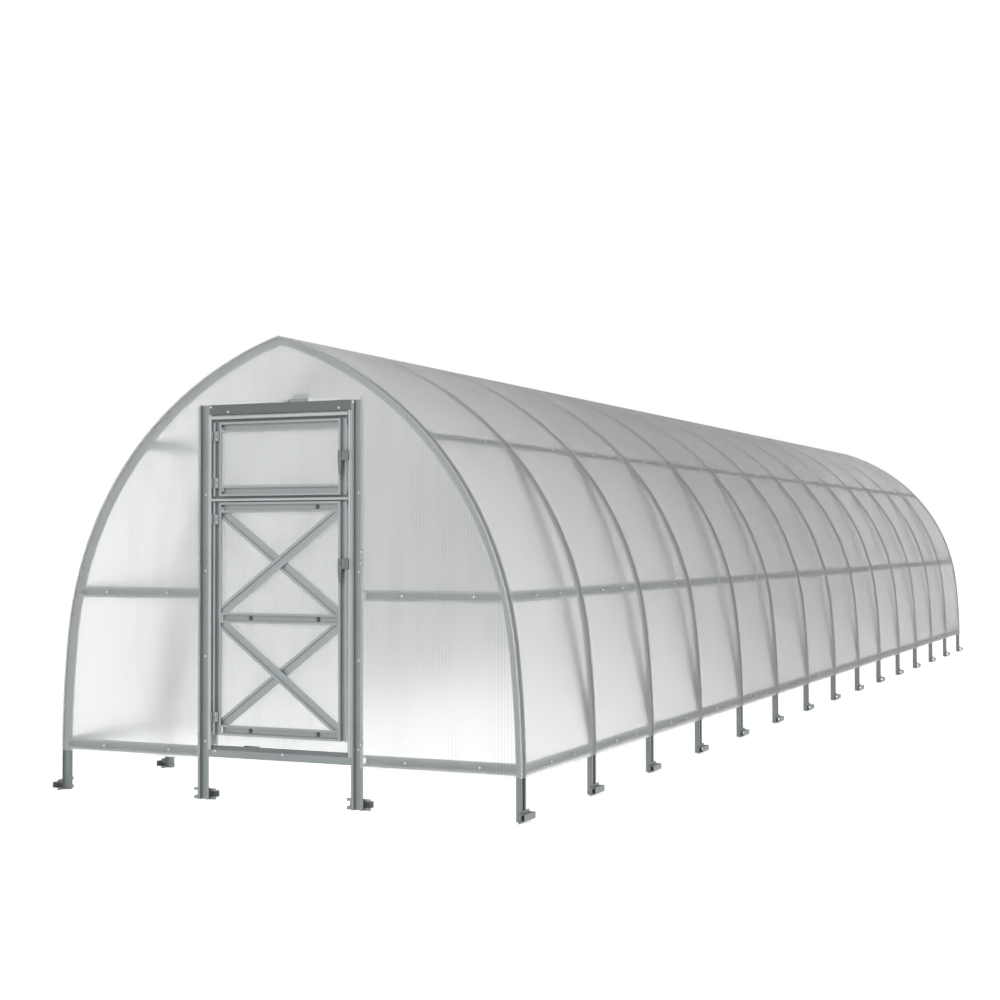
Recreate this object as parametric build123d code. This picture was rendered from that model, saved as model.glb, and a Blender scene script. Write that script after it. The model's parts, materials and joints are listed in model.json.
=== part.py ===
"""Gothic-arch greenhouse: bent hat-section arches, purlins, clear sheets and a braced door."""

import os
from math import acos, asin, cos, hypot, radians, sin

from build123d import *

# Arch outline: a straight leg, then three tangent arcs that meet at the ridge
half_width = 1506.0
leg_height = 185.0
wall_radius = 6850.0
wall_sweep_degrees = 6.3
shoulder_radius = 1990.0
shoulder_sweep_degrees = 46.0
roof_radius = 2215.0

# Length of the house
bay_length = 1050.0
bay_count = 14
bays_per_sheet = 2

# Hat section of the arches, purlins, rails and feet, folded from steel strip
steel = 1.2
channel_width = 32.0
channel_depth = 36.0
flange_reach = 16.0

# Purlins, by the height of their middle, the upper one by its turn along the shoulder arc
bottom_rail_height = 278.0
middle_purlin_height = 1192.0
upper_purlin_sweep_degrees = 36.5
purlin_seat = 0.3

# Straight struts inside the arches, by the heights where they leave the legs and the shoulders
strut_foot_height = 400.0
strut_head_height = 2000.0

# Clear sheets
sheet = 6.0
sheet_bottom = 234.0
sheet_joint = 4.0
sheet_seat = 0.3

# Feet
foot_length = 150.0

# Door frame
frame_half_width = 545.0
post_channel_width = 44.0
post_channel_depth = 18.0
post_top = 2284.0
lintel_height = 58.0
lintel_depth = 30.0
clip_width = 124.0
clip_lean = 30.0
clip_rise = 46.0
clip_middle = 128.0
sheet_over_lintel = 16.0
sill_bottom = 248.0
sill_face = 42.0
sill_slope = 24.0
jamb_width = 17.0
jamb_lap = 6.0
jamb_side = 2.0
jamb_bulge = 9.0
jamb_bottom = 292.0
jamb_seat = 1.0
stop_gap = 6.0
stop_reach = 24.0
head_strip_height = 24.0
head_strip_gap = 4.0
transom_height = 18.0

# Leaves of the door and of the vent above it
leaf_half_width = 442.0
leaf_channel_depth = 23.0
stile_channel_width = 28.0
stile_reach = 13.5
rail_channel_width = 34.0
rail_reach = 13.0
leaf_sheet = 4.0
leaf_sheet_margin = 6.0
door_bottom = 376.0
door_top = 1718.0
door_middle_rail = 1053.0
vent_bottom = 1754.0
vent_top = 2182.0
transom_gap = 6.0

# Braces of the door
brace_channel_width = 16.0
brace_channel_depth = 8.8
brace_reach = 15.0

# Hinges
hinge_height = 58.0
hinge_plate_width = 36.0
hinge_plate = 2.0
hinge_stand_off = 7.0
knuckle_radius = 6.0
pin_radius = 3.0
pin_clearance = 0.3
knuckle_gap = 1.0
door_hinge_heights = (1620.0, 480.0)
vent_hinge_heights = (2102.0, 1830.0)

# Latches
latch_height = 58.0
latch_width = 24.0
latch_depth = 18.0
latch_tongue = 3.5
lever_drop = 78.0
lever_top_width = 23.0
lever_tip_width = 12.0
lever_thickness = 8.0
door_latch_height = 1364.0
vent_latch_height = 1972.0

# Values worked out from the sizes above
hat_depth = channel_depth + steel
hat_half_width = channel_width / 2 + flange_reach
web_half_width = channel_width / 2 + steel
house_length = bay_length * bay_count
front_arch_y = -house_length / 2
wall_y = front_arch_y - web_half_width
leaf_depth = leaf_channel_depth + steel
stile_width = stile_channel_width + 2 * stile_reach
rail_width = rail_channel_width + 2 * rail_reach
post_width = post_channel_width + 2 * flange_reach
post_depth = post_channel_depth + steel
post_middle = frame_half_width - post_width / 2
post_inner = frame_half_width - post_width
post_wall = post_inner + flange_reach - steel
jamb_inner = post_inner - jamb_width
lintel_bottom = post_top - lintel_height
sill_height = sill_face + sill_slope
stop_y = wall_y + leaf_depth + leaf_sheet + stop_gap
hinge_x = -(leaf_half_width + jamb_inner) / 2
hinge_y = wall_y - hinge_stand_off
cut_reach = 2 * house_length

X, Y, Z = Vector(1, 0, 0), Vector(0, 1, 0), Vector(0, 0, 1)


def block(x_range, y_range, z_range):
    """A box between three pairs of limits."""
    spans = [(min(r), max(r)) for r in (x_range, y_range, z_range)]
    middle = [(low + high) / 2 for low, high in spans]
    return Pos(*middle) * Box(*[high - low for low, high in spans])


def folded_section(points, thickness):
    """A face of one thickness, to the left of an open outline with mitred folds."""
    steps = [Vector(*b) - Vector(*a) for a, b in zip(points, points[1:])]
    normals = [Vector(-step.Y, step.X).normalized() for step in steps]
    inner = []
    for index, point in enumerate(points):
        before = normals[max(index - 1, 0)]
        after = normals[min(index, len(normals) - 1)]
        mitre = (before + after) * (thickness / (1 + before.dot(after)))
        inner.append((point[0] + mitre.X, point[1] + mitre.Y))
    return Polygon(*points, *reversed(inner), align=None)


def hat_section(channel, depth, reach):
    """A hat: flanges on the first axis, the closed side of the channel one depth behind them."""
    edge = channel / 2 + reach
    half = channel / 2
    outline = [(-edge, 0), (-half, 0), (-half, depth), (half, depth), (half, 0), (edge, 0)]
    return folded_section(outline, steel)


def bar(section, start, along, behind, length):
    """A section run along a direction, with its second axis pointing behind."""
    plane = Plane(origin=start, x_dir=behind.cross(along), z_dir=along)
    return extrude(plane * section, amount=length)


def both_sides(part):
    """The part and its mirror image across the ridge."""
    return [part, mirror(part, about=Plane.YZ)]


def at_rear(part):
    """The part moved to the other end by mirroring."""
    return mirror(part, about=Plane.XZ)


# Centres and angles of the three arcs of the left half
wall_end = radians(180 - wall_sweep_degrees)
shoulder_end = wall_end - radians(shoulder_sweep_degrees)
wall_centre = (wall_radius - half_width, leg_height)
shoulder_centre = (
    wall_centre[0] + (wall_radius - shoulder_radius) * cos(wall_end),
    wall_centre[1] + (wall_radius - shoulder_radius) * sin(wall_end),
)
roof_centre = (
    shoulder_centre[0] + (shoulder_radius - roof_radius) * cos(shoulder_end),
    shoulder_centre[1] + (shoulder_radius - roof_radius) * sin(shoulder_end),
)


def arc_point(centre, radius, angle):
    """A point of an arc in the plane of an arch."""
    return (centre[0] + radius * cos(angle), 0, centre[1] + radius * sin(angle))


def arch_line(inset):
    """Edges of the left half of the arch outline, moved inwards, from the ground to the ridge."""
    foot = (inset - half_width, 0, 0)
    knee = (inset - half_width, 0, leg_height)
    ridge_angle = acos(-roof_centre[0] / (roof_radius - inset))
    edges = [Line(foot, knee)]
    angle = radians(180)
    arcs = (
        (wall_centre, wall_radius - inset, wall_end),
        (shoulder_centre, shoulder_radius - inset, shoulder_end),
        (roof_centre, roof_radius - inset, ridge_angle),
    )
    for centre, radius, end in arcs:
        stations = (angle, (angle + end) / 2, end)
        edges.append(ThreePointArc(*[arc_point(centre, radius, a) for a in stations]))
        angle = end
    return edges


def half_band(outer, inner, y_range):
    """The left half of a strip between two insets of the arch outline."""
    outer_edges = arch_line(outer)
    inner_edges = arch_line(inner)
    ridge = Line(outer_edges[-1] @ 1, inner_edges[-1] @ 1)
    ground = Line(inner_edges[0] @ 0, outer_edges[0] @ 0)
    face = make_face([*outer_edges, ridge, *inner_edges, ground])
    band = extrude(face, amount=y_range[1] - y_range[0], dir=Y)
    return Pos(0, y_range[0], 0) * band


def inside_arch(inset, y_range):
    """Everything within an inset of the arch outline, both halves."""
    edges = arch_line(inset)
    ridge = edges[-1] @ 1
    foot = edges[0] @ 0
    face = make_face([*edges, Line(ridge, Vector(0, 0, 0)), Line(Vector(0, 0, 0), foot)])
    half = Pos(0, y_range[0], 0) * extrude(face, amount=y_range[1] - y_range[0], dir=Y)
    return half + mirror(half, about=Plane.YZ)


def arch():
    """One hat-section arch about Y = 0, its flanges outwards."""
    inner = channel_width / 2
    half = half_band(channel_depth, hat_depth, (-web_half_width, web_half_width))
    for side in (-1, 1):
        wall = sorted((side * inner, side * web_half_width))
        half += half_band(0, hat_depth, wall)
        half += half_band(0, steel, sorted((side * inner, side * hat_half_width)))
    return half + mirror(half, about=Plane.YZ)


def outline_at(height):
    """The point of the left outline at a height, and its outward direction."""
    if height <= leg_height:
        return Vector(-half_width, 0, height), -X
    arcs = (
        (wall_centre, wall_radius, wall_end),
        (shoulder_centre, shoulder_radius, shoulder_end),
        (roof_centre, roof_radius, 0),
    )
    for centre, radius, end in arcs:
        angle = radians(180) - asin(min((height - centre[1]) / radius, 1))
        if angle >= end:
            break
    return Vector(*arc_point(centre, radius, angle)), Vector(cos(angle), 0, sin(angle))


def shoulder_at(sweep_degrees):
    """The point of the left shoulder at a turn from its lower end, and its outward direction."""
    angle = wall_end - radians(sweep_degrees)
    point = Vector(*arc_point(shoulder_centre, shoulder_radius, angle))
    return point, Vector(cos(angle), 0, sin(angle))


def purlins(point, outward):
    """The left row of hat-section lengths at a point, one to each bay, between the arches."""
    section = hat_section(channel_width, channel_depth, flange_reach)
    length = bay_length - 2 * hat_half_width
    row = []
    for bay in range(bay_count):
        start_y = front_arch_y + bay * bay_length + hat_half_width
        start = point - outward * purlin_seat + Y * start_y
        row.append(bar(section, start, Y, -outward, length))
    return row


def struts():
    """The left row of straight hats inside the arches, their ends cut to the arch."""
    section = hat_section(channel_width, channel_depth, flange_reach)
    ends = []
    for height in (strut_foot_height, strut_head_height):
        point, outward = outline_at(height)
        ends.append(point - outward * hat_depth)
    span = ends[1] - ends[0]
    along = span.normalized()
    length = 2 * span.length
    start = (ends[0] + ends[1]) / 2 - along * (length / 2)
    strut = bar(section, start, along, Y.cross(along), length)
    strut &= inside_arch(hat_depth, (-hat_half_width, hat_half_width))
    inner_arches = range(1, bay_count)
    return [Pos(0, front_arch_y + i * bay_length, 0) * strut for i in inner_arches]


def arch_feet():
    """Short hats along the house, flanges on the outer face of each left leg."""
    section = hat_section(channel_width, channel_depth, flange_reach)
    row = []
    for index in range(bay_count + 1):
        start_y = front_arch_y + index * bay_length - foot_length / 2
        start = Vector(-half_width, start_y, hat_half_width)
        row.append(bar(section, start, Y, -X, foot_length))
    return row


def roof_course(low, high):
    """The left row of roof sheets, cut between two heights."""
    row = []
    sheet_length = bay_length * bays_per_sheet
    sheet_count = bay_count // bays_per_sheet
    end_reach = hat_half_width + sheet_joint / 2
    for index in range(sheet_count):
        first = front_arch_y + index * sheet_length + sheet_joint / 2
        last = first + sheet_length - sheet_joint
        first -= end_reach if index == 0 else 0
        last += end_reach if index == sheet_count - 1 else 0
        whole = half_band(-sheet, 0, (first, last))
        row.append(whole & block((-cut_reach, 0), (first, last), (low, high)))
    return row


def end_sheet(x_range, z_range):
    """The part of the front wall's sheet between two pairs of limits."""
    y_range = (wall_y - sheet, wall_y)
    whole = inside_arch(steel + sheet_seat, y_range)
    return whole & block(x_range, y_range, z_range)


def wall_rail(height, x_range):
    """A front rail, flanges to the front, trimmed to the inner face of the arch."""
    section = hat_section(channel_width, channel_depth, flange_reach)
    start = Vector(min(x_range), wall_y, height)
    rail = bar(section, start, X, Y, abs(x_range[1] - x_range[0]))
    return rail & inside_arch(hat_depth, (wall_y, wall_y + hat_depth))


def post(x):
    """A door post, open to the front, from the ground to the top of the lintel."""
    section = hat_section(post_channel_width, post_channel_depth, flange_reach)
    return bar(section, Vector(x, wall_y, 0), Z, Y, post_top)


def post_foot(x):
    """A short hat across the back of a door post."""
    section = hat_section(channel_width, channel_depth, flange_reach)
    start = Vector(x - foot_length / 2, wall_y + post_depth, hat_half_width)
    return bar(section, start, X, Y, foot_length)


def lintel():
    """A channel behind the inner flanges of the posts."""
    half = lintel_height / 2
    outline = [(-half, lintel_depth), (-half, 0), (half, 0), (half, lintel_depth)]
    section = folded_section(outline, steel)
    start = Vector(-post_wall, wall_y + steel, lintel_bottom + half)
    return bar(section, start, X, Y, 2 * post_wall)


def lintel_clip():
    """A leaning plate on the lintel that holds the lower edge of the top sheet."""
    half = clip_width / 2
    outline = [(-half, 0), (half, 0), (half, clip_rise), (clip_lean - half, clip_rise)]
    plane = Plane(origin=(clip_middle, wall_y, post_top), x_dir=X, z_dir=-Y)
    return extrude(plane * Polygon(*outline, align=None), amount=-2 * steel)


def sill():
    """A folded threshold between the posts, with a sloping top."""
    outline = [(sill_slope, sill_face), (sill_slope, sill_height), (0, sill_face), (0, 0)]
    section = folded_section(outline, steel)
    plane = Plane(origin=(-post_wall, wall_y + steel, sill_bottom), x_dir=Y, z_dir=X)
    return extrude(plane * section, amount=2 * post_wall)


def bead_section(width):
    """A strip with a rounded front, flat at the back."""
    half = width / 2
    corners = [(-half, -jamb_side), (-half, steel), (half, steel), (half, -jamb_side)]
    sides = [Line(a, b) for a, b in zip(corners, corners[1:])]
    front = ThreePointArc(corners[-1], (0, -jamb_bulge), corners[0])
    return make_face([*sides, front])


def jamb(side):
    """The rounded strip beside the opening, lapped on its post, with a stop behind the leaf."""
    length = lintel_bottom - jamb_bottom
    middle = side * (jamb_inner + jamb_width / 2)
    strip = bar(bead_section(jamb_width), Vector(middle, wall_y, jamb_bottom), Z, Y, length)
    lap = (side * post_inner, side * (post_inner + jamb_lap))
    strip += block(lap, (wall_y - steel, wall_y), (jamb_bottom, lintel_bottom))
    upright = (sill_bottom + sill_height + jamb_seat, lintel_bottom)
    web = (side * jamb_inner, side * (jamb_inner + steel))
    strip += block(web, (wall_y, stop_y + steel), upright)
    lip = (side * (jamb_inner - stop_reach), side * (jamb_inner + steel))
    return strip + block(lip, (stop_y, stop_y + steel), upright)


def cross_strip(bottom, height):
    """A rounded strip across the opening, from jamb to jamb."""
    start = Vector(-jamb_inner, wall_y, bottom + height / 2)
    return bar(bead_section(height), start, X, Y, 2 * jamb_inner)


def leaf_stiles(bottom, top):
    """The two upright hats of a leaf."""
    section = hat_section(stile_channel_width, leaf_channel_depth, stile_reach)
    middle = leaf_half_width - stile_width / 2
    return [bar(section, Vector(s * middle, wall_y, bottom), Z, Y, top - bottom) for s in (-1, 1)]


def leaf_rail(middle):
    """A level hat between the stiles of a leaf."""
    section = hat_section(rail_channel_width, leaf_channel_depth, rail_reach)
    reach = leaf_half_width - stile_width
    return bar(section, Vector(-reach, wall_y, middle), X, Y, 2 * reach)


def leaf_panel(bottom, top):
    """The sheet on the back of a leaf."""
    reach = leaf_half_width - leaf_sheet_margin
    back = wall_y + leaf_depth
    z_range = (bottom + leaf_sheet_margin, top - leaf_sheet_margin)
    return block((-reach, reach), (back, back + leaf_sheet), z_range)


def cross_braces(bottom, top, front_rises):
    """Two crossed hats between two rail edges, one behind the other."""
    reach = leaf_half_width - stile_width
    depth = brace_channel_depth + steel
    section = hat_section(brace_channel_width, brace_channel_depth, brace_reach)
    spread = brace_channel_width + 2 * brace_reach
    limits = (
        (-(reach + stile_reach - steel), reach + stile_reach - steel),
        (wall_y, wall_y + leaf_depth),
        (bottom - rail_reach + steel, top + rail_reach - steel),
    )
    bars = []
    for layer in (0, 1):
        rises = front_rises if layer == 0 else not front_rises
        rise = top - bottom if rises else bottom - top
        along = Vector(2 * reach, 0, rise).normalized()
        middle = Vector(0, wall_y + steel + layer * depth, (bottom + top) / 2)
        length = hypot(2 * reach, rise) + 2 * spread
        brace = bar(section, middle - along * (length / 2), along, Y, length)
        bars.append(brace & block(*limits))
    return bars


def fixed_knuckle(height):
    """The jamb's half of a hinge: a knuckle below, an arm to the jamb and the pin."""
    bottom = height - hinge_height / 2
    seat = (hinge_height - knuckle_gap) / 2
    turn = Pos(hinge_x, hinge_y, bottom)
    upright = (Align.CENTER, Align.CENTER, Align.MIN)
    knuckle = turn * Cylinder(knuckle_radius, seat, align=upright)
    pin = turn * Cylinder(pin_radius, hinge_height, align=upright)
    arm = block((-jamb_inner, hinge_x), (hinge_y, wall_y + steel), (bottom, bottom + seat))
    return knuckle + arm + pin


def leaf_knuckle(height):
    """The leaf's half of a hinge: a plate on the stile and a knuckle above."""
    bottom = height - hinge_height / 2
    top = height + hinge_height / 2
    split = height + knuckle_gap / 2
    near = hinge_x + knuckle_radius + steel
    plate = block((near, near + hinge_plate_width), (wall_y - hinge_plate, wall_y), (bottom, top))
    plate += block((hinge_x, near), (hinge_y, wall_y), (split, top))
    upright = (Align.CENTER, Align.CENTER, Align.MIN)
    turn = Pos(hinge_x, hinge_y, split)
    plate += turn * Cylinder(knuckle_radius, top - split, align=upright)
    return plate - turn * Cylinder(pin_radius + pin_clearance, top - split, align=upright)


def latch(height):
    """A latch on the right stile: case, tongue over the jamb and a hanging lever."""
    outer = leaf_half_width
    inner = outer - latch_width
    front = wall_y - latch_depth
    bottom = height - latch_height / 2
    top = height + latch_height / 2
    case = block((inner, outer), (front, wall_y), (bottom, top))
    tongue_end = jamb_inner + jamb_width / 2
    case += block((outer, tongue_end), (front, front + latch_tongue), (bottom, top))
    outline = [
        (0, 0),
        (-lever_top_width, 0),
        (-lever_tip_width, -(latch_height + lever_drop)),
        (0, -(latch_height + lever_drop)),
    ]
    plane = Plane(origin=(inner, front, top), x_dir=X, z_dir=-Y)
    lever = extrude(plane * Polygon(*outline, align=None), amount=-lever_thickness)
    return case + lever


def house_parts():
    """Nodes of the arches, purlins, feet and roof sheets."""
    hoop = arch()
    hoops = [Pos(0, front_arch_y + i * bay_length, 0) * hoop for i in range(bay_count + 1)]
    nodes = {"front_arch": hoops[:1], "inner_arches": hoops[1:-1], "rear_arch": hoops[-1:]}
    wall_height = wall_centre[1] + wall_radius * sin(wall_end)
    shoulder_height = shoulder_centre[1] + shoulder_radius * sin(shoulder_end)
    left_rows = {
        "bottom_rail": purlins(*outline_at(bottom_rail_height)),
        "middle_purlin": purlins(*outline_at(middle_purlin_height)),
        "upper_purlin": purlins(*shoulder_at(upper_purlin_sweep_degrees)),
        "struts": struts(),
        "feet": arch_feet(),
        "lower_sheets": roof_course(sheet_bottom, wall_height),
        "middle_sheets": roof_course(wall_height, shoulder_height),
        "upper_sheets": roof_course(shoulder_height, cut_reach),
    }
    for name, row in left_rows.items():
        nodes["left_" + name] = row
        nodes["right_" + name] = [mirror(piece, about=Plane.YZ) for piece in row]
    return nodes


def front_parts():
    """Nodes of the front wall and its door frame."""
    far_left = (-half_width, -frame_half_width)
    sheet_edge = frame_half_width - flange_reach + steel
    top_edge = post_top + sheet_over_lintel
    return {
        "front_bottom_rails": both_sides(wall_rail(bottom_rail_height, far_left)),
        "front_middle_rails": both_sides(wall_rail(middle_purlin_height, far_left)),
        "front_posts": both_sides(post(-post_middle)),
        "front_post_feet": both_sides(post_foot(-post_middle)),
        "front_left_sheet": [end_sheet((-half_width, -sheet_edge), (sheet_bottom, cut_reach))],
        "front_right_sheet": [end_sheet((sheet_edge, half_width), (sheet_bottom, cut_reach))],
        "front_top_sheet": [end_sheet((-sheet_edge, sheet_edge), (top_edge, cut_reach))],
        "lintel": [lintel()],
        "lintel_clip": [lintel_clip()],
        "sill": [sill()],
        "door_jambs": [jamb(-1), jamb(1)],
        "head_strip": [
            cross_strip(lintel_bottom - head_strip_gap - head_strip_height, head_strip_height)
        ],
        "transom_strip": [cross_strip(door_top + transom_gap, transom_height)],
        "door_hinge_pins": [fixed_knuckle(height) for height in door_hinge_heights],
    }


def vent_parts():
    """Nodes of the vent over the door."""
    rails = (vent_bottom + rail_width / 2, vent_top - rail_width / 2)
    hinges = []
    for height in vent_hinge_heights:
        hinges += [fixed_knuckle(height), leaf_knuckle(height)]
    return {
        "vent_stiles": leaf_stiles(vent_bottom, vent_top),
        "vent_rails": [leaf_rail(height) for height in rails],
        "vent_sheet": [leaf_panel(vent_bottom, vent_top)],
        "vent_hinges": hinges,
        "vent_latch": [latch(vent_latch_height)],
    }


def door_parts():
    """Nodes of the door leaf."""
    bottom_rail = door_bottom + rail_width / 2
    top_rail = door_top - rail_width / 2
    half = rail_width / 2
    return {
        "door_stiles": leaf_stiles(door_bottom, door_top),
        "door_rails": [leaf_rail(z) for z in (bottom_rail, door_middle_rail, top_rail)],
        "door_sheet": [leaf_panel(door_bottom, door_top)],
        "upper_braces": cross_braces(door_middle_rail + half, top_rail - half, True),
        "lower_braces": cross_braces(bottom_rail + half, door_middle_rail - half, False),
        "door_hinges": [leaf_knuckle(height) for height in door_hinge_heights],
        "door_latch": [latch(door_latch_height)],
    }


def rear_parts():
    """Nodes of the plain rear wall."""
    far_left = (-half_width, -frame_half_width)
    between = (-frame_half_width + post_width, frame_half_width - post_width)
    rails = []
    for height in (bottom_rail_height, middle_purlin_height):
        rails += both_sides(wall_rail(height, far_left)) + [wall_rail(height, between)]
    whole = end_sheet((-half_width, half_width), (sheet_bottom, cut_reach))
    return {
        "rear_rails": [at_rear(rail) for rail in rails],
        "rear_posts": [at_rear(p) for p in both_sides(post(-post_middle))],
        "rear_post_feet": [at_rear(foot) for foot in both_sides(post_foot(-post_middle))],
        "rear_lintel": [at_rear(lintel())],
        "rear_sheet": [at_rear(whole)],
    }


os.makedirs("parts", exist_ok=True)
for make_nodes in (house_parts, front_parts, vent_parts, door_parts, rear_parts):
    for name, pieces in make_nodes().items():
        solids = [solid for piece in pieces for solid in piece.solids()]
        shape = solids[0] if len(solids) == 1 else Compound(children=solids)
        export_step(shape, os.path.join("parts", name + ".step"))
        print(name, len(solids))
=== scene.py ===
import json
from math import acos, asin, cos, radians, sin

import bmesh
import bpy
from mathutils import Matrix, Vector


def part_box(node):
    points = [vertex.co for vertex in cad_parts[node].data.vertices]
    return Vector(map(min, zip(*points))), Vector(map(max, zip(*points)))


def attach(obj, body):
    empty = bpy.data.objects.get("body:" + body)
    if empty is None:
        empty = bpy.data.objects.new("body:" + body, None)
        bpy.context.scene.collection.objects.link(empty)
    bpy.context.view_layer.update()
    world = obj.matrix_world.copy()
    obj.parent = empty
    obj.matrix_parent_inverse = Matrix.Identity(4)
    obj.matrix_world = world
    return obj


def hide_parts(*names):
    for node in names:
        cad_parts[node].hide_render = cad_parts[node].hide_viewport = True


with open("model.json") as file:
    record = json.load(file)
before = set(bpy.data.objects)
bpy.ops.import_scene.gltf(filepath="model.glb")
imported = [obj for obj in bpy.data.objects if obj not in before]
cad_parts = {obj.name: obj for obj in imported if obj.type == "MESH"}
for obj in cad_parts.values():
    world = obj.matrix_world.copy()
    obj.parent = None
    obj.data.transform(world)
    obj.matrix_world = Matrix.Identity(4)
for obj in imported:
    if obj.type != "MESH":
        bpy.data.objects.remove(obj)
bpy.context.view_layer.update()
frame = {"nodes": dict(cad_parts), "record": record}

# Arch outline in metres: a straight leg, then three tangent arcs up to the ridge
half_width = 1.506
leg_height = 0.185
wall_radius = 6.85
wall_sweep = radians(6.3)
shoulder_radius = 1.99
shoulder_sweep = radians(46.0)
roof_radius = 2.215
wall_end = radians(180) - wall_sweep
shoulder_end = wall_end - shoulder_sweep

# Places read from the frame
sheet_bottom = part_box("left_lower_sheets")[0].z
roof_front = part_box("left_lower_sheets")[0].y
roof_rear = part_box("left_lower_sheets")[1].y
wall_front, wall_back = (corner.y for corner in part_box("front_left_sheet"))
opening_half_width = -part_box("front_left_sheet")[1].x
opening_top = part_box("front_top_sheet")[0].z
front_arch_y = (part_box("front_arch")[0].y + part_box("front_arch")[1].y) / 2
rear_arch_y = (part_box("rear_arch")[0].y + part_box("rear_arch")[1].y) / 2

# Bays and sheets
bay_count = 14
bays_per_sheet = 2
bay_length = (rear_arch_y - front_arch_y) / bay_count
sheet_thickness = 0.006
sheet_joint = 0.004
sheet_gap = 0.0006
lip_inset = 0.0015
weld = 0.00005
arc_steps = {"wall": 6, "shoulder": 16, "roof": 10}
sheet_sharp_angle = radians(40)

# Heights of the rails and purlins
bottom_rail_height = 0.278
middle_purlin_height = 1.192
upper_purlin_height = 2.070

# Steel sections
steel = 0.0012
post_half_width = 0.038
post_half_flange = 0.008
post_channel_depth = 0.018
leaf_channel_depth = 0.023
wall_y = wall_back
post_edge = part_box("front_posts")[1].x
post_middle = post_edge - post_half_width
post_flange_middle = post_edge - post_half_flange
stile_middle = 0.4145

# Stops behind the leaves, by their lower and upper edges
leaf_sheet_bottom = 0.3195
stop_half_width = 0.4278
stop_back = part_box("door_jambs")[1].y
stop_edges = {"head_stop": (2.150, 2.2258), "transom_stop": (1.690, 1.782)}

# Crossed braces of the door: rail edges they run between, and whether the front bar rises to the right
brace_edges = {"upper": (1.083, 1.658, True), "lower": (0.436, 1.023, False)}
brace_channel_width = 0.030
brace_channel_depth = 0.0088
brace_reach = 0.016
brace_half_span = 0.387
brace_tuck = 0.0118
brace_spare_length = 1.2

# Screws: shares of a bay along each purlin, then places on the front wall by X and Z
bay_screw_shares = (0.35, 0.68)
rail_screws = {
    bottom_rail_height: (-1.208, -0.744, 0.810, 1.260),
    middle_purlin_height: (-1.190, -0.760, 0.790, 1.226),
}
post_screw_heights = (0.335, 0.828, 1.322, 1.764)
post_edge_heights = (0.368, 1.370, 1.434)
lintel_screws = ((-0.462, 2.272), (-0.344, 2.242), (0.388, 2.242), (0.480, 2.272))
sill_screws = ((-0.428, 0.284), (0.024, 0.284))
stile_screws = {"door": (0.742,), "house": (1.966,)}
rail_bolts = ((-0.200, 1.053), (0.246, 1.053), (-0.200, 0.406), (0.246, 0.406), (0.240, 1.688))
hinge_heights = {"door": (1.620, 0.480), "house": (2.102, 1.830)}
hinge_plate_middle = -0.4218
hinge_plate = 0.002
hinge_screw_rise = 0.018

head_taper = 0.8
head_seat = 0.9
flange_taper = 0.72
flange_sides = 16
screw_turn = radians(60)
screw_seed = 7
washer_sizes = {
    "Head Radius": 0.0075, "Head Height": 0.0012, "Flange Radius": 0.0105, "Flange Height": 0.0012,
    "Head Sides": 16,
}
sheet_screw_sizes = {
    "Head Radius": 0.0050, "Head Height": 0.0055, "Flange Radius": 0.0082, "Flange Height": 0.0028,
    "Head Sides": 6,
}
frame_screw_sizes = {
    "Head Radius": 0.0048, "Head Height": 0.0045, "Flange Radius": 0.0072, "Flange Height": 0.0014,
    "Head Sides": 6,
}
small_screw_sizes = {
    "Head Radius": 0.0030, "Head Height": 0.0014, "Flange Radius": 0.0042, "Flange Height": 0.0008,
    "Head Sides": 12,
}
rail_bolt_sizes = {
    "Head Radius": 0.0095, "Head Height": 0.0080, "Flange Radius": 0.0145, "Flange Height": 0.0022,
    "Head Sides": 6,
}

# Latches: a case over the stile and jamb, a lever that hangs beside it
latch_tops = {"door": 1.3970, "house": 2.0025}
latch_case = {"left": 0.4180, "right": 0.4420, "height": 0.058, "front": 0.0190}
latch_tongue = {"right": 0.4625, "front": 0.0185, "back": 0.0145}
lever_left = 0.3950
lever_right = 0.4180
lever_tip_width = 0.014
lever_length = 0.136
lever_front = 0.022
lever_thickness = 0.007
pivot_radius = 0.0085
pivot_height = 0.006
latch_bevel = 0.0016
latch_bevel_steps = 2
latch_sharp_angle = radians(35)
round_sides = 20

# Camera
camera_place = Vector((5.0297, -15.5471, 1.5032))
camera_turn = (radians(91.3414), radians(0.0872), radians(24.0576))
camera_lens = 60.24
camera_sensor = 36.0

# Studio
floor_reach = 300.0
sky_white_height = 0.34
sky_grey_height = 0.80
sky_white = (1.0, 1.0, 1.0, 1)
sky_grey = (0.40, 0.41, 0.42, 1)
floor_colour = (0.80, 0.80, 0.80, 1)
floor_glow = 0.68
floor_glow_through_sheet = 0.06
lamp_place = Vector((1.0, -18.0, 7.0))
lamp_aim = Vector((0.0, -7.4, 1.2))
lamp_size = (9.0, 5.0)
lamp_power = 320.0

# Zinc finish, in which the front lip of the end arch gets painted light: a brighter tone over the shade in
# its corner
spangle_scale = 95.0
grain_scale = 620.0
cloud_scale = 5.0
tone_shares = {"spangle": 0.18, "cloud": 0.62, "grain": 0.20}
grain_bump = {"Strength": 0.05, "Distance": 0.0004}
roughness_spread = 0.06
painted_light_lip_y = wall_back - 0.0005
painted_light_lip_tint = (0.70, 0.73, 0.73, 1)

# Powder coat
peel_scale = 900.0
coat_cloud_scale = 30.0
peel_bump = {"Strength": 0.1, "Distance": 0.0003}
coat_roughness = 0.38
coat_roughness_spread = 0.14

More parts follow.
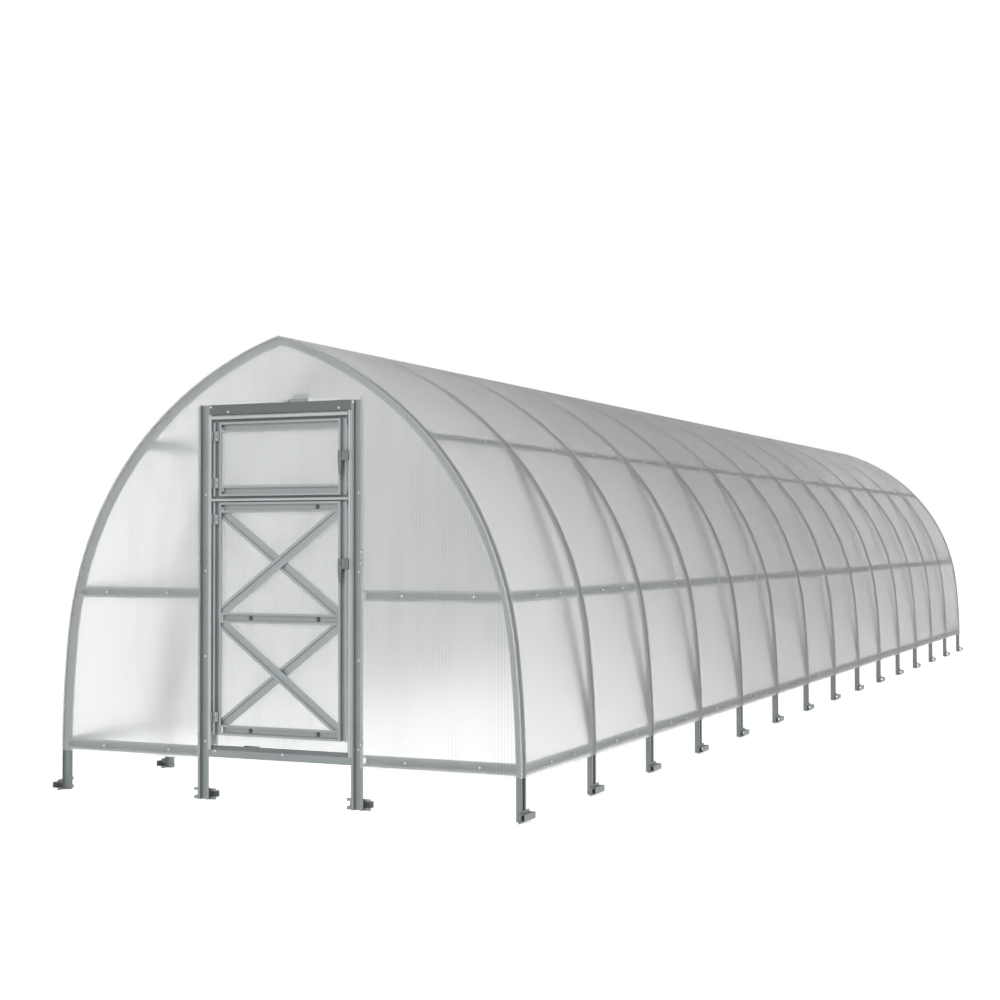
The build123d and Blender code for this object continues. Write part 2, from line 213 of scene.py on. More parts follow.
# Clear sheet
sheet_ior = 1.18
sheet_gloss = 0.25
roof_skin_roughness = 0.36
roof_core_roughness = 0.80
end_skin_roughness = 0.06
end_core_roughness = 0.60
leaf_roughness = 0.70
roof_tint = (1.0, 1.0, 1.0, 1)
roof_haze = 0.86
# Haze grows from the front end backwards: painted light, for the light from the front that brightens the
# first bays
haze_near = (-7.4, 0.26)
haze_far = (-2.8, 1.10)
end_haze = 0.05
haze_end = 0.64
roof_clearness = 0.90
end_clearness = 0.86
end_tint = (0.99, 0.995, 0.992, 1)
leaf_tint = (0.975, 0.983, 0.979, 1)
rib_tint = (0.55, 0.57, 0.57, 1)
rib_scale = 16.2
rib_edge = (0.45, 0.95)
rib_patch_edge = (0.42, 0.66)
rib_patch_scale = (9.0, 9.0, 2.2)
rib_start = (-1.35, -0.95)
flute_scale = 52.0
flute_bump = {"Strength": 0.15, "Distance": 0.0006}
roof_rib_depth = 0.02
end_rib_depth = 0.22
leaf_rib_depth = 0.30


class Wire:
    """An output of a node tree; sums of wires and numbers add Math nodes."""

    def __init__(self, tree, socket):
        self.tree = tree
        self.socket = socket

    def math(self, operation, first, second):
        node = self.tree.node("ShaderNodeMath", {"operation": operation}, {0: first, 1: second})
        return self.tree.out(node)

    def __add__(self, other):
        return self.math("ADD", self, other)

    def __radd__(self, other):
        return self.math("ADD", other, self)

    def __sub__(self, other):
        return self.math("SUBTRACT", self, other)

    def __rsub__(self, other):
        return self.math("SUBTRACT", other, self)

    def __mul__(self, other):
        return self.math("MULTIPLY", self, other)

    def __rmul__(self, other):
        return self.math("MULTIPLY", other, self)


class Tree:
    """A node tree with one way to add any node."""

    def __init__(self, tree):
        self.tree = tree

    def node(self, kind, settings=None, inputs=None):
        node = self.tree.nodes.new(kind)
        for name, value in (settings or {}).items():
            if name == "stops":
                self.set_stops(node.color_ramp, value)
            else:
                setattr(node, name, value)
        for key, value in (inputs or {}).items():
            if isinstance(value, Wire):
                self.tree.links.new(value.socket, node.inputs[key])
            else:
                node.inputs[key].default_value = value
        return node

    def set_stops(self, ramp, stops):
        while len(ramp.elements) < len(stops):
            ramp.elements.new(0.5)
        for element, (place, colour) in zip(ramp.elements, stops):
            element.position = place
            element.color = colour

    def out(self, node, key=0):
        return Wire(self, node.outputs[key])

    def add(self, kind, settings=None, inputs=None, key=0):
        return self.out(self.node(kind, settings, inputs), key)

    def mix_colour(self, factor, first, second, blend="MIX"):
        settings = {"data_type": "RGBA", "blend_type": blend}
        return self.add("ShaderNodeMix", settings, {0: factor, 6: first, 7: second}, 2)

    def ramp(self, value, first, last):
        """A straight line between two pairs of value and result, level beyond them."""
        places = {"From Min": first[0], "From Max": last[0], "To Min": first[1], "To Max": last[1]}
        return self.add("ShaderNodeMapRange", {"clamp": True}, dict(places, Value=value))


def new_material(name):
    """An empty material and its tree, with an output node."""
    material = bpy.data.materials.new(name)
    material.use_nodes = True
    material.node_tree.nodes.clear()
    tree = Tree(material.node_tree)
    output = tree.node("ShaderNodeOutputMaterial")
    return material, tree, output


def object_axes(tree):
    """Object coordinates, whole and as three numbers."""
    place = tree.add("ShaderNodeTexCoord", key="Object")
    split = tree.node("ShaderNodeSeparateXYZ", inputs={0: place})
    return place, [tree.out(split, axis) for axis in range(3)]


def galvanised(name, dark, light, roughness, metallic, painted_light_lip_y=None):
    """Zinc-coated steel strip: faint spangle, cloudy tone and fine grain, with painted light on a lip if
    asked for.
    """
    material, tree, output = new_material(name)
    place, axes = object_axes(tree)
    spangle = tree.add(
        "ShaderNodeTexVoronoi", {"feature": "F1"}, {"Vector": place, "Scale": spangle_scale}, "Color"
    )
    grain = tree.add("ShaderNodeTexNoise", None, {"Vector": place, "Scale": grain_scale, "Detail": 2.0})
    cloud = tree.add("ShaderNodeTexNoise", None, {"Vector": place, "Scale": cloud_scale, "Detail": 4.0})
    cells = tree.add("ShaderNodeSeparateColor", None, {0: spangle})
    shares = tone_shares
    tone = shares["spangle"] * cells + shares["cloud"] * cloud + shares["grain"] * grain
    colour = tree.mix_colour(tone, dark, light)
    if painted_light_lip_y is not None:
        # Painted light: the lip ahead of the wall and above the sheet's lower edge gets a brighter tone over
        # the shade in its corner
        ahead = tree.add("ShaderNodeMath", {"operation": "LESS_THAN"}, {0: axes[1], 1: painted_light_lip_y})
        above = tree.add("ShaderNodeMath", {"operation": "GREATER_THAN"}, {0: axes[2], 1: sheet_bottom})
        colour = tree.mix_colour(ahead * above, colour, painted_light_lip_tint)
    bump = tree.add("ShaderNodeBump", None, dict(grain_bump, Height=grain), "Normal")
    shader = tree.add(
        "ShaderNodeBsdfPrincipled",
        None,
        {
            "Base Color": colour,
            "Metallic": metallic,
            "Roughness": roughness - roughness_spread + 2 * roughness_spread * cloud,
            "Normal": bump,
        },
    )
    tree.tree.links.new(shader.socket, output.inputs["Surface"])
    return material


def clear_sheet(name, axis, tint, roughness, haze, clearness, rib_depth):
    """Twin-wall sheet: rough clear plastic, greyer at a slant and, as painted light, clearer towards the
    front end, with ribs that repeat along one axis.
    """
    material, tree, output = new_material(name)
    place, axes = object_axes(tree)
    bands = {"wave_type": "BANDS", "bands_direction": "XYZ"[axis], "wave_profile": "SIN"}
    rib = tree.add(
        "ShaderNodeTexWave", bands, {"Vector": place, "Scale": rib_scale, "Distortion": 0.0}, "Fac"
    )
    line = tree.ramp(rib, (rib_edge[0], 0.0), (rib_edge[1], 1.0))
    stretch = tree.add("ShaderNodeMapping", None, {"Vector": place, "Scale": rib_patch_scale})
    patch = tree.add("ShaderNodeTexNoise", None, {"Vector": stretch, "Scale": 1.0, "Detail": 3.0})
    strength = tree.ramp(patch, (rib_patch_edge[0], 0.0), (rib_patch_edge[1], rib_depth))
    if axis == 0:
        strength = strength * tree.ramp(axes[0], (rib_start[0], 0.0), (rib_start[1], 1.0))
    colour = tree.mix_colour(line * strength, tint, rib_tint)
    facing = 1 - tree.add("ShaderNodeLayerWeight", None, {"Blend": 0.5}, "Facing")
    slant = tree.ramp(facing, (0.0, 1.0), (haze_end, 0.0))
    # Painted light: less haze towards the front end, where light from the front brightens the first bays
    painted_front_light_falloff = tree.ramp(axes[1], haze_near, haze_far)
    depth = haze * slant * painted_front_light_falloff
    clear = tree.add("ShaderNodeMath", {"operation": "EXPONENT"}, {0: 0 - depth})
    flute = tree.add(
        "ShaderNodeTexWave", bands, {"Vector": place, "Scale": flute_scale, "Distortion": 0.0}, "Fac"
    )
    bump = tree.add("ShaderNodeBump", None, dict(flute_bump, Height=flute), "Normal")
    shader = tree.add(
        "ShaderNodeBsdfPrincipled",
        None,
        {
            "Base Color": tree.mix_colour(1.0, colour, clear, "MULTIPLY"),
            "Roughness": roughness,
            "IOR": sheet_ior,
            "Specular IOR Level": sheet_gloss,
            "Transmission Weight": clearness,
            "Normal": bump,
        },
    )
    tree.tree.links.new(shader.socket, output.inputs["Surface"])
    return material


def powder_coat(name, dark, light):
    """Satin powder coat with a fine orange-peel surface."""
    material, tree, output = new_material(name)
    place, axes = object_axes(tree)
    peel = tree.add("ShaderNodeTexNoise", None, {"Vector": place, "Scale": peel_scale, "Detail": 2.0})
    cloud = tree.add("ShaderNodeTexNoise", None, {"Vector": place, "Scale": coat_cloud_scale, "Detail": 3.0})
    bump = tree.add("ShaderNodeBump", None, dict(peel_bump, Height=peel), "Normal")
    shader = tree.add(
        "ShaderNodeBsdfPrincipled",
        None,
        {
            "Base Color": tree.mix_colour(cloud, dark, light),
            "Roughness": coat_roughness + coat_roughness_spread * cloud,
            "Normal": bump,
        },
    )
    tree.tree.links.new(shader.socket, output.inputs["Surface"])
    return material


purlin_paint = galvanised("purlin_steel", (0.40, 0.43, 0.43, 1), (0.54, 0.575, 0.575, 1), 0.46, 0.4)
strut_paint = galvanised("strut_steel", (0.14, 0.155, 0.155, 1), (0.21, 0.23, 0.23, 1), 0.5, 0.4)
# Leaf steel: a lighter tone than the other steel, painted light that lifts the shade in the leaves' open
# channels
leaf_steel_painted_light = galvanised("leaf_steel", (0.31, 0.34, 0.34, 1), (0.44, 0.475, 0.475, 1), 0.46, 0.4)
steel_paint = galvanised("galvanised_steel", (0.24, 0.265, 0.265, 1), (0.36, 0.39, 0.39, 1), 0.46, 0.5)
# The end arch's finish carries painted light on its front lip
arch_paint = galvanised("end_arch_steel", (0.20, 0.222, 0.222, 1), (0.31, 0.336, 0.336, 1), 0.46, 0.5, painted_light_lip_y)
# Edge strips: a lighter tone than the other steel, a painted highlight for the shine on their rolled edge
strip_painted_highlight = galvanised("edge_strip_painted_highlight", (0.42, 0.45, 0.45, 1), (0.54, 0.57, 0.57, 1), 0.33, 0.6)
# A darker steel tone for the lintel and the door's rail bolts
lintel_paint = galvanised("dark_lintel_steel", (0.12, 0.134, 0.134, 1), (0.18, 0.20, 0.20, 1), 0.5, 0.4)
screw_paint = galvanised("zinc_screw", (0.62, 0.64, 0.65, 1), (0.82, 0.84, 0.85, 1), 0.3, 0.9)
# Sealing washers in mid grey: partly their own colour, partly a painted shadow under the screw heads
washer_and_shadow_paint = powder_coat("sealing_washer_and_shadow", (0.34, 0.36, 0.36, 1), (0.44, 0.46, 0.46, 1))
latch_paint = powder_coat("latch_grey", (0.17, 0.19, 0.19, 1), (0.23, 0.25, 0.25, 1))
roof_finish = (roof_haze, roof_clearness, roof_rib_depth)
end_finish = (end_haze, end_clearness, end_rib_depth)
leaf_finish = (end_haze, end_clearness, leaf_rib_depth)
roof_outer_paint = clear_sheet("roof_sheet_outer", 1, roof_tint, roof_skin_roughness, *roof_finish)
roof_inner_paint = clear_sheet("roof_sheet_inner", 1, roof_tint, roof_core_roughness, *roof_finish)
end_outer_paint = clear_sheet("end_sheet_outer", 0, end_tint, end_skin_roughness, *end_finish)
end_inner_paint = clear_sheet("end_sheet_inner", 0, end_tint, end_core_roughness, *end_finish)
leaf_paint = clear_sheet("leaf_sheet", 0, leaf_tint, leaf_roughness, *leaf_finish)


def paint(piece, material):
    """One material on the whole piece."""
    piece.data.materials.clear()
    piece.data.materials.append(material)


def finish_cad_nodes():
    """Each carried-over node gets the finish of its slot, or one for the ending of its name."""
    finishes = {"steel": steel_paint, "strip": strip_painted_highlight, "latch": latch_paint}
    special_finishes = {
        "lintel": lintel_paint,
        "front_arch": arch_paint,
        "_struts": strut_paint,
        "_purlin": purlin_paint,
        "t_bottom_rail": purlin_paint,
        "_stiles": leaf_steel_painted_light,
        "door_rails": leaf_steel_painted_light,
        "vent_rails": leaf_steel_painted_light,
    }
    for entry in frame["record"]["subparts"]:
        node = frame["nodes"][entry["node"]]
        material = finishes.get(entry["material_slot"], leaf_paint)
        for ending, finish in special_finishes.items():
            if entry["node"].endswith(ending):
                material = finish
        for place in node.material_slots:
            place.material = material


def arcs():
    """Centre, radius, first and last angle of the three arcs of the left half."""
    wall_centre = Vector((wall_radius - half_width, leg_height))
    shoulder_centre = wall_centre + (wall_radius - shoulder_radius) * Vector((cos(wall_end), sin(wall_end)))
    reach = shoulder_radius - roof_radius
    roof_centre = shoulder_centre + reach * Vector((cos(shoulder_end), sin(shoulder_end)))
    return (
        ("wall", wall_centre, wall_radius, radians(180), wall_end),
        ("shoulder", shoulder_centre, shoulder_radius, wall_end, shoulder_end),
        ("roof", roof_centre, roof_radius, shoulder_end, None),
    )


def outline(offset):
    """Points of the left half from the sheet's lower edge to the ridge, moved outwards by an offset."""
    start, outward = outline_at(sheet_bottom)
    points = [start + outward * offset]
    for name, centre, radius, first, last in arcs():
        radius += offset
        if last is None:
            last = acos(-centre.x / radius)
        steps = arc_steps[name]
        for step in range(1, steps + 1):
            angle = first + (last - first) * step / steps
            points.append(centre + radius * Vector((cos(angle), sin(angle))))
    return points


def outline_at(height):
    """The point of the left outline at a height, and its outward direction, in X and Z."""
    if height <= leg_height:
        return Vector((-half_width, height)), Vector((-1, 0))
    for name, centre, radius, first, last in arcs():
        angle = radians(180) - asin((height - centre.y) / radius)
        if last is None or angle >= last:
            break
    outward = Vector((cos(angle), sin(angle)))
    return centre + radius * outward, outward


def new_piece(name, mesh_data, body, material):
    """An object from a bmesh, riding on a body, with its finish."""
    mesh = bpy.data.meshes.new(name)
    bmesh.ops.recalc_face_normals(mesh_data, faces=mesh_data.faces)
    mesh_data.to_mesh(mesh)
    mesh_data.free()
    piece = bpy.data.objects.new(name, mesh)
    bpy.context.scene.collection.objects.link(piece)
    paint(piece, material)
    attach(piece, body)
    return piece


def add_wall(mesh_data, near, far):
    """Joins two loops of points with a strip of faces and gives back their corners."""
    first = [mesh_data.verts.new(point) for point in near]
    second = [mesh_data.verts.new(point) for point in far]
    count = len(near)
    for i in range(count):
        j = (i + 1) % count
        mesh_data.faces.new((first[i], first[j], second[j], second[i]))
    return first, second


def roof_sheets(side, name):
    """The seven bent sheets of one side, from the bottom rail to the ridge."""
    data = bmesh.new()
    inner = outline(sheet_gap)
    outer = outline(sheet_gap + sheet_thickness)
    sheet_length = bay_length * bays_per_sheet
    count = bay_count // bays_per_sheet
    for index in range(count):
        first = front_arch_y + index * sheet_length + sheet_joint / 2
        last = first + sheet_length - sheet_joint
        first = roof_front if index == 0 else first
        last = roof_rear if index == count - 1 else last
        loop = outer + inner[::-1]
        rows = [[Vector((-side * p.x, y, p.y)) for p in loop] for y in (first, last)]
        near, far = add_wall(data, *rows)
        steps = len(outer)
        for row in (near, far):
            for i in range(steps - 1):
                data.faces.new((row[i], row[i + 1], row[-2 - i], row[-1 - i]))
    piece = new_piece(name + "_roof_sheets", data, "house", roof_outer_paint)
    piece.data.materials.append(roof_inner_paint)
    middle = Vector((0, 0, leg_height))
    for face in piece.data.polygons:
        face.use_smooth = True
        inwards = face.center - middle
        inwards.y = 0
        face.material_index = 1 if face.normal.dot(inwards) < 0 else 0
    piece.data.set_sharp_from_angle(angle=sheet_sharp_angle)
    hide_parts(*[f"{name}_{course}_sheets" for course in ("lower", "middle", "upper")])
    return piece


def front_wall_sheet():
    """The front sheet in one piece, with the door opening cut out."""
    edge = outline(-lip_inset)
    corner, outward = outline_at(opening_top)
    corner = corner - outward * lip_inset
    inner = -opening_half_width
    below = [p for p in edge if p.y < opening_top] + [corner]
    above = [corner] + [p for p in edge if p.y > opening_top]
    rows = []
    for low, high in zip(below, below[1:]):
        rows.append([(low.x, low.y), (inner, low.y), (inner, high.y), (high.x, high.y)])
    for low, high in zip(above, above[1:]):
        lap = [(inner, low.y)] if low is corner else []
        tip = [] if high is above[-1] else [(high.x, high.y)]
        rows.append([(low.x, low.y)] + lap + [(0, low.y), (0, high.y)] + tip)
    data = bmesh.new()
    for side in (1, -1):
        for row in rows:
            data.faces.new([data.verts.new((side * x, wall_front, z)) for x, z in row])
    bmesh.ops.remove_doubles(data, verts=data.verts, dist=weld)
    grown = bmesh.ops.extrude_face_region(data, geom=data.faces[:])
    moved = [item for item in grown["geom"] if isinstance(item, bmesh.types.BMVert)]
    bmesh.ops.translate(data, verts=moved, vec=(0, wall_back - sheet_gap - wall_front, 0))
    piece = new_piece("front_wall_sheet", data, "house", end_outer_paint)
    piece.data.materials.append(end_inner_paint)
    for face in piece.data.polygons:
        face.material_index = 1 if face.normal.y > 0.5 else 0
    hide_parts("front_left_sheet", "front_right_sheet", "front_top_sheet")
    return piece


def fastener_tree(name):
    """A tree that sets a screw with a round flange on each point, along the point's facing."""
    group = bpy.data.node_groups.new(name, "GeometryNodeTree")
    face = group.interface
    face.new_socket("Geometry", in_out="INPUT", socket_type="NodeSocketGeometry")
    for label in ("Head Radius", "Head Height", "Flange Radius", "Flange Height"):
        face.new_socket(label, in_out="INPUT", socket_type="NodeSocketFloat")
    face.new_socket("Head Sides", in_out="INPUT", socket_type="NodeSocketInt")
    face.new_socket("Material", in_out="INPUT", socket_type="NodeSocketMaterial")
    face.new_socket("Geometry", in_out="OUTPUT", socket_type="NodeSocketGeometry")
    tree = Tree(group)
    given = tree.node("NodeGroupInput")
    radius, height = tree.out(given, "Head Radius"), tree.out(given, "Head Height")
    rim, thickness = tree.out(given, "Flange Radius"), tree.out(given, "Flange Height")
    sides = tree.out(given, "Head Sides")
    head = tree.add(
        "GeometryNodeMeshCone",
        None,
        {
            "Vertices": sides,
            "Radius Top": head_taper * radius,
            "Radius Bottom": radius,
            "Depth": height,
        },
    )
    seat = tree.add("ShaderNodeCombineXYZ", None, {"Z": head_seat * thickness})
    head = tree.add("GeometryNodeTransform", None, {"Geometry": head, "Translation": seat})
    flange = tree.add(
        "GeometryNodeMeshCone",
        None,
        {
            "Vertices": flange_sides,
            "Radius Top": flange_taper * rim,
            "Radius Bottom": rim,
            "Depth": thickness,
        },
    )
    join = tree.node("GeometryNodeJoinGeometry")
    for part in (flange, head):
        group.links.new(part.socket, join.inputs[0])
    facing = tree.add(
        "GeometryNodeInputNamedAttribute", {"data_type": "FLOAT_VECTOR"}, {"Name": "facing"}
    )
    aim = tree.add("FunctionNodeAlignRotationToVector", {"axis": "Z"}, {"Vector": facing})
    turn = tree.add(
        "FunctionNodeRandomValue", {"data_type": "FLOAT"}, {2: 0.0, 3: screw_turn, "Seed": screw_seed}, 1
    )
    spin = tree.add("ShaderNodeCombineXYZ", None, {"Z": turn})
    spin = tree.add("FunctionNodeEulerToRotation", None, {0: spin})
    aim = tree.add("FunctionNodeRotateRotation", {"rotation_space": "LOCAL"}, {0: aim, 1: spin})
    placed = tree.add(
        "GeometryNodeInstanceOnPoints",
        None,
        {
            "Points": tree.out(given, "Geometry"),
            "Instance": tree.out(join),
            "Rotation": aim,
        },
    )
    real = tree.add("GeometryNodeRealizeInstances", None, {0: placed})
    painted = tree.add(
        "GeometryNodeSetMaterial", None, {"Geometry": real, "Material": tree.out(given, "Material")}
    )
    result = tree.node("NodeGroupOutput")
    group.links.new(painted.socket, result.inputs[0])
    return group


def fasteners(name, body, places, sizes, material):
    """One mesh of screws for a body: each place is a point and the direction its head faces."""
    mesh = bpy.data.meshes.new(name)
    mesh.from_pydata([point for point, facing in places], [], [])
    facings = mesh.attributes.new("facing", "FLOAT_VECTOR", "POINT")
    for entry, (point, facing) in zip(facings.data, places):
        entry.vector = facing
    piece = bpy.data.objects.new(name, mesh)
    bpy.context.scene.collection.objects.link(piece)
    modifier = piece.modifiers.new("fasteners", "NODES")
    modifier.node_group = screw_tree
    values = dict(sizes, Material=material)
    for socket in screw_tree.interface.items_tree:
        if socket.in_out == "INPUT" and socket.name in values:
            modifier[socket.identifier] = values[socket.name]
    graph = bpy.context.evaluated_depsgraph_get()
    plain = bpy.data.meshes.new_from_object(piece.evaluated_get(graph))
    piece.modifiers.clear()
    piece.data = plain
    plain.name = name
    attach(piece, body)
    return piece


def roof_screw_places():
    """Two screws to a bay along each purlin and rail of both sides, on the sheet."""
    places = []
    for height in (bottom_rail_height, middle_purlin_height, upper_purlin_height):
        point, outward = outline_at(height)
        point = point + outward * (sheet_gap + sheet_thickness)
        for side in (-1, 1):
            for bay in range(bay_count):
                for share in bay_screw_shares:
                    y = front_arch_y + (bay + share) * bay_length
                    spot = Vector((-side * point.x, y, point.y))
                    places.append((spot, Vector((-side * outward.x, 0, outward.y))))
    return places


def wall_screw_places():
    """Screws through the sheet into the rails and posts of both end walls."""
    places = []
    for end in (1, -1):
        facing = Vector((0, -end, 0))
        for height, across in rail_screws.items():
            places += [(Vector((x, end * wall_front, height)), facing) for x in across]
        for height in post_edge_heights:
            for side in (-1, 1):
                x = side * post_flange_middle
                places.append((Vector((x, end * wall_front, height)), facing))
    return places


def frame_screw_places():
    """Screws in the webs of the posts, on the lintel and the sill."""
    ahead = Vector((0, -1, 0))
    places = []
    for height in post_screw_heights:
        for side in (-1, 1):
            places.append((Vector((side * post_middle, wall_y + post_channel_depth, height)), ahead))
    for x, z in lintel_screws + sill_screws:
        y = wall_y if abs(x) > post_middle - post_half_width else wall_y + steel
        places.append((Vector((x, y, z)), ahead))
    return places


def leaf_screw_places(body):
    """Small screws on the hinge plates and the left stile of a leaf."""
    ahead = Vector((0, -1, 0))
    stile_y = wall_y + leaf_channel_depth
    places = [(Vector((-stile_middle, stile_y, z)), ahead) for z in stile_screws[body]]
    for height in hinge_heights[body]:
        for rise in (-hinge_screw_rise, hinge_screw_rise):
            spot = Vector((hinge_plate_middle, wall_y - hinge_plate, height + rise))
            places.append((spot, ahead))
    return places


def add_fasteners():
    """All screws and bolts, one mesh of each kind to a body."""
    sealed = roof_screw_places() + wall_screw_places()
    fasteners("sheet_screw_washers", "house", sealed, washer_sizes, washer_and_shadow_paint)
    fasteners("sheet_screws", "house", sealed, sheet_screw_sizes, screw_paint)
    fasteners("frame_screws", "house", frame_screw_places(), frame_screw_sizes, screw_paint)
    for body, name in (("house", "vent_screws"), ("door", "door_screws")):
        fasteners(name, body, leaf_screw_places(body), small_screw_sizes, screw_paint)
    web_y = wall_y + leaf_channel_depth
    bolts = [(Vector((x, web_y, z)), Vector((0, -1, 0))) for x, z in rail_bolts]
    fasteners("door_rail_bolts", "door", bolts, rail_bolt_sizes, lintel_paint)


def add_prism(data, corners, near, far):
    """A closed prism of an outline in X and Z between two depths."""
    rows = [[Vector((x, y, z)) for x, z in corners] for y in (near, far)]
    first, second = add_wall(data, *rows)
    data.faces.new(first)
    data.faces.new(second[::-1])


def door_leaf_sheet():
    """The door's sheet, which hangs below the bottom rail to close the gap over the sill."""
    near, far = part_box("door_sheet")
    data = bmesh.new()
    corners = [(near.x, leaf_sheet_bottom), (far.x, leaf_sheet_bottom), (far.x, far.z), (near.x, far.z)]
    add_prism(data, corners, near.y, far.y)
    piece = new_piece("door_leaf_sheet", data, "door", leaf_paint)
    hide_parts("door_sheet")


def add_stops():
    """Flat bars behind the upper edges of the vent and the door."""
    for name, (low, high) in stop_edges.items():
        data = bmesh.new()
        reach = stop_half_width
        corners = [(-reach, low), (reach, low), (reach, high), (-reach, high)]
        add_prism(data, corners, stop_back - steel, stop_back)
        new_piece(name, data, "house", steel_paint)


def hat_corners(channel, depth, reach):
    """Corners of a hat section: across, then behind its flanges."""
    half, edge = channel / 2, channel / 2 + reach
    near = [(-edge, 0), (-half, 0), (-half, depth), (half, depth), (half, 0), (edge, 0)]
    far = [(edge, steel), (half + steel, steel), (half + steel, depth + steel)]
    return near + far + [(-u, v) for u, v in reversed(far)]


def add_brace(data, middle, along, length):
    """One bar of a cross, open to the front, centred on a point."""
    behind = Vector((0, 1, 0))
    across = behind.cross(along)
    corners = hat_corners(brace_channel_width, brace_channel_depth, brace_reach)
    rows = []
    for end in (-length / 2, length / 2):
        rows.append([middle + along * end + across * u + behind * v for u, v in corners])
    first, second = add_wall(data, *rows)
    data.faces.new(first)
    data.faces.new(second[::-1])


def trim(data, point, outward):
    """Cuts away what lies beyond a plane and closes the cut."""
    geometry = data.verts[:] + data.edges[:] + data.faces[:]
    cut = bmesh.ops.bisect_plane(
        data, geom=geometry, plane_co=point, plane_no=outward, clear_outer=True
    )
    edges = [item for item in cut["geom_cut"] if isinstance(item, bmesh.types.BMEdge)]
    bmesh.ops.holes_fill(data, edges=edges, sides=0)


def add_braces():
    """The crossed braces of the door, tucked behind its rails and stiles."""
    for name, (low, high, front_rises) in brace_edges.items():
        data = bmesh.new()
        side = brace_half_span + brace_tuck
        for layer in (0, 1):
            bar = bmesh.new()
            rise = (high - low) * (1 if front_rises == (layer == 0) else -1)
            along = Vector((2 * brace_half_span, 0, rise))
            depth = wall_y + steel + layer * (brace_channel_depth + steel)
            middle = Vector((0, depth, (low + high) / 2))
            add_brace(bar, middle, along.normalized(), brace_spare_length * along.length)
            bmesh.ops.recalc_face_normals(bar, faces=bar.faces)
            trim(bar, Vector((side, 0, 0)), Vector((1, 0, 0)))
            trim(bar, Vector((-side, 0, 0)), Vector((-1, 0, 0)))
            trim(bar, Vector((0, 0, high + brace_tuck)), Vector((0, 0, 1)))
            trim(bar, Vector((0, 0, low - brace_tuck)), Vector((0, 0, -1)))
            mesh = bpy.data.meshes.new("brace_bar")
            bar.to_mesh(mesh)
            bar.free()
            data.from_mesh(mesh)
            bpy.data.meshes.remove(mesh)
        piece = new_piece("wide_" + name + "_braces", data, "door", leaf_steel_painted_light)
        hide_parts(name + "_braces")


def round_corners(x, z, radius):
    """Points of a circle in X and Z."""
    turn = radians(360) / round_sides
    return [(x + radius * cos(i * turn), z + radius * sin(i * turn)) for i in range(round_sides)]


def add_latch(body, name, node):
    """A latch with a bevelled case, a hanging lever and its pivot."""
    top = latch_tops[body]
    case = latch_case
    low = top - case["height"]
    sides = (case["left"], case["right"])
    data = bmesh.new()
    outline_points = [(sides[0], low), (sides[1], low), (sides[1], top), (sides[0], top)]
    add_prism(data, outline_points, wall_y - case["front"], wall_y)
    tongue = latch_tongue
    reach = (sides[1] - latch_bevel, tongue["right"])
    flap = [(reach[0], low), (reach[1], low), (reach[1], top), (reach[0], top)]
    add_prism(data, flap, wall_y - tongue["front"], wall_y - tongue["back"])
    middle = (lever_left + lever_right) / 2
    tip = top - lever_length
    blade = [
        (middle - lever_tip_width / 2, tip),
        (middle + lever_tip_width / 2, tip),
        (lever_right, low),
        (lever_right, top),
        (lever_left, top),
        (lever_left, low),
    ]
    add_prism(data, blade, wall_y - lever_front, wall_y - lever_front + lever_thickness)
    bmesh.ops.bevel(
        data,
        geom=data.edges[:],
        offset=latch_bevel,
        segments=latch_bevel_steps,
        affect="EDGES",
        clamp_overlap=True,
    )
    pivot_front = wall_y - lever_front - pivot_height
    pivot = round_corners(middle, (top + low) / 2, pivot_radius)
    add_prism(data, pivot, pivot_front, wall_y)
    piece = new_piece(name, data, body, latch_paint)
    for face in piece.data.polygons:
        face.use_smooth = True
    piece.data.set_sharp_from_angle(angle=latch_sharp_angle)
    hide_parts(node)
    return piece


def add_latches():
    """The latch of the door and that of the vent."""
    add_latch("door", "door_latch_lever", "door_latch")
    add_latch("house", "vent_latch_lever", "vent_latch")


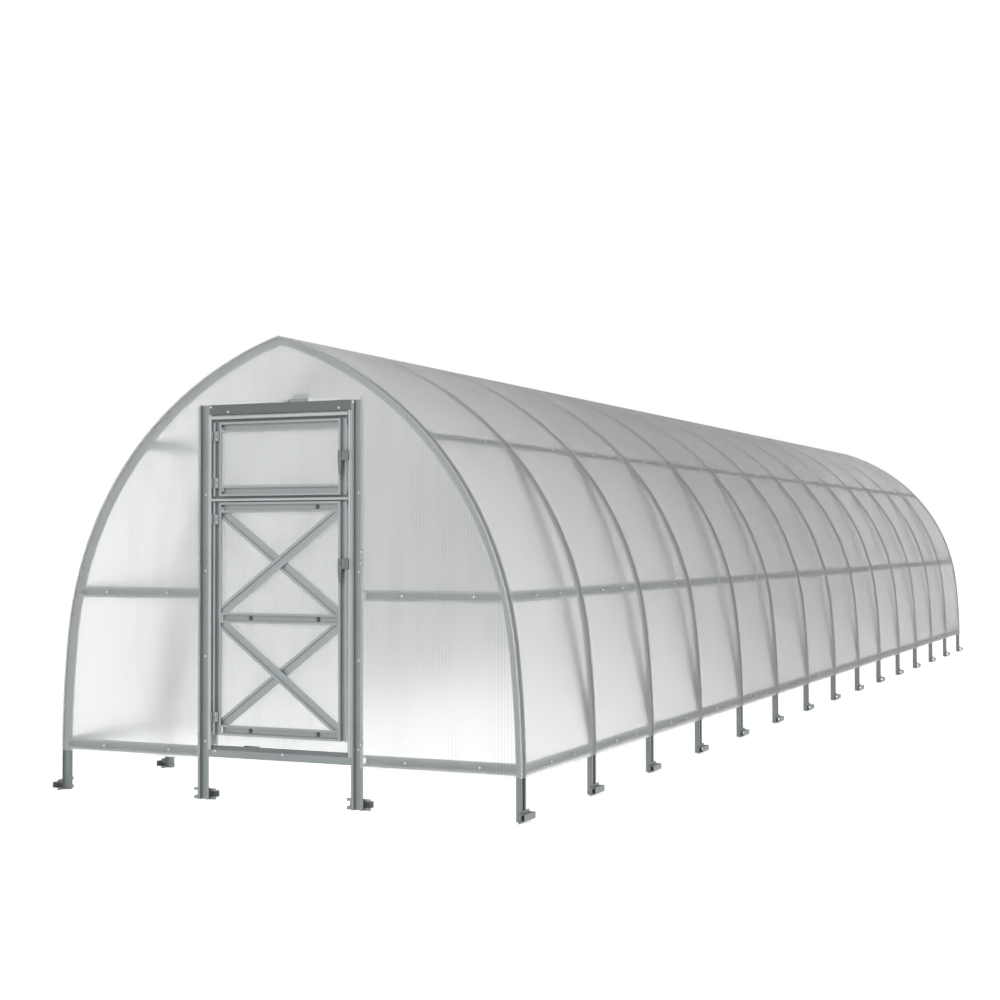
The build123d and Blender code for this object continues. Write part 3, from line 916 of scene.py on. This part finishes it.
def make_floor():
    """A pale floor that shows white and keeps the shadow."""
    material, tree, output = new_material("pale_floor")
    rays = tree.node("ShaderNodeLightPath")
    seen = floor_glow * (tree.out(rays, "Is Camera Ray") + tree.out(rays, "Is Glossy Ray"))
    seen = seen + floor_glow_through_sheet * tree.out(rays, "Is Transmission Ray")
    diffuse = tree.add("ShaderNodeBsdfDiffuse", None, {"Color": floor_colour})
    glow = tree.add("ShaderNodeEmission", None, {"Color": sky_white, "Strength": seen})
    both = tree.add("ShaderNodeAddShader", None, {0: diffuse, 1: glow})
    tree.tree.links.new(both.socket, output.inputs["Surface"])
    data = bmesh.new()
    bmesh.ops.create_grid(data, x_segments=1, y_segments=1, size=floor_reach)
    mesh = bpy.data.meshes.new("studio_floor")
    data.to_mesh(mesh)
    data.free()
    floor = bpy.data.objects.new("studio_floor", mesh)
    bpy.context.scene.collection.objects.link(floor)
    paint(floor, material)


def make_sky():
    """A white surround that turns grey overhead."""
    world = bpy.data.worlds.new("studio")
    bpy.context.scene.world = world
    world.use_nodes = True
    world.node_tree.nodes.clear()
    tree = Tree(world.node_tree)
    place = tree.add("ShaderNodeTexCoord", key="Generated")
    split = tree.node("ShaderNodeSeparateXYZ", inputs={0: place})
    height = tree.out(split, 2)
    stops = ((sky_white_height, sky_white), (sky_grey_height, sky_grey))
    colour = tree.add("ShaderNodeValToRGB", {"stops": stops}, {0: height})
    shader = tree.add("ShaderNodeBackground", None, {"Color": colour, "Strength": 1.0})
    output = tree.node("ShaderNodeOutputWorld")
    tree.tree.links.new(shader.socket, output.inputs["Surface"])


def make_lamp():
    """A broad soft lamp in front of the door wall."""
    data = bpy.data.lights.new("front_lamp", "AREA")
    data.shape = "RECTANGLE"
    data.size, data.size_y = lamp_size
    data.energy = lamp_power
    lamp = bpy.data.objects.new("front_lamp", data)
    bpy.context.scene.collection.objects.link(lamp)
    lamp.location = lamp_place
    lamp.rotation_euler = (lamp_aim - lamp_place).to_track_quat("-Z", "Y").to_euler()


def make_camera():
    """The photograph's view."""
    data = bpy.data.cameras.new("camera")
    data.lens = camera_lens
    data.sensor_width = camera_sensor
    data.clip_end = 2 * floor_reach
    camera = bpy.data.objects.new("camera", data)
    bpy.context.scene.collection.objects.link(camera)
    camera.location = camera_place
    camera.rotation_euler = camera_turn
    bpy.context.scene.camera = camera


bpy.context.scene.view_settings.view_transform = "Standard"
finish_cad_nodes()
roof_sheets(-1, "left")
roof_sheets(1, "right")
front_wall_sheet()
screw_tree = fastener_tree("fasteners")
add_fasteners()
add_latches()
door_leaf_sheet()
add_stops()
add_braces()
make_floor()
make_sky()
make_lamp()
make_camera()
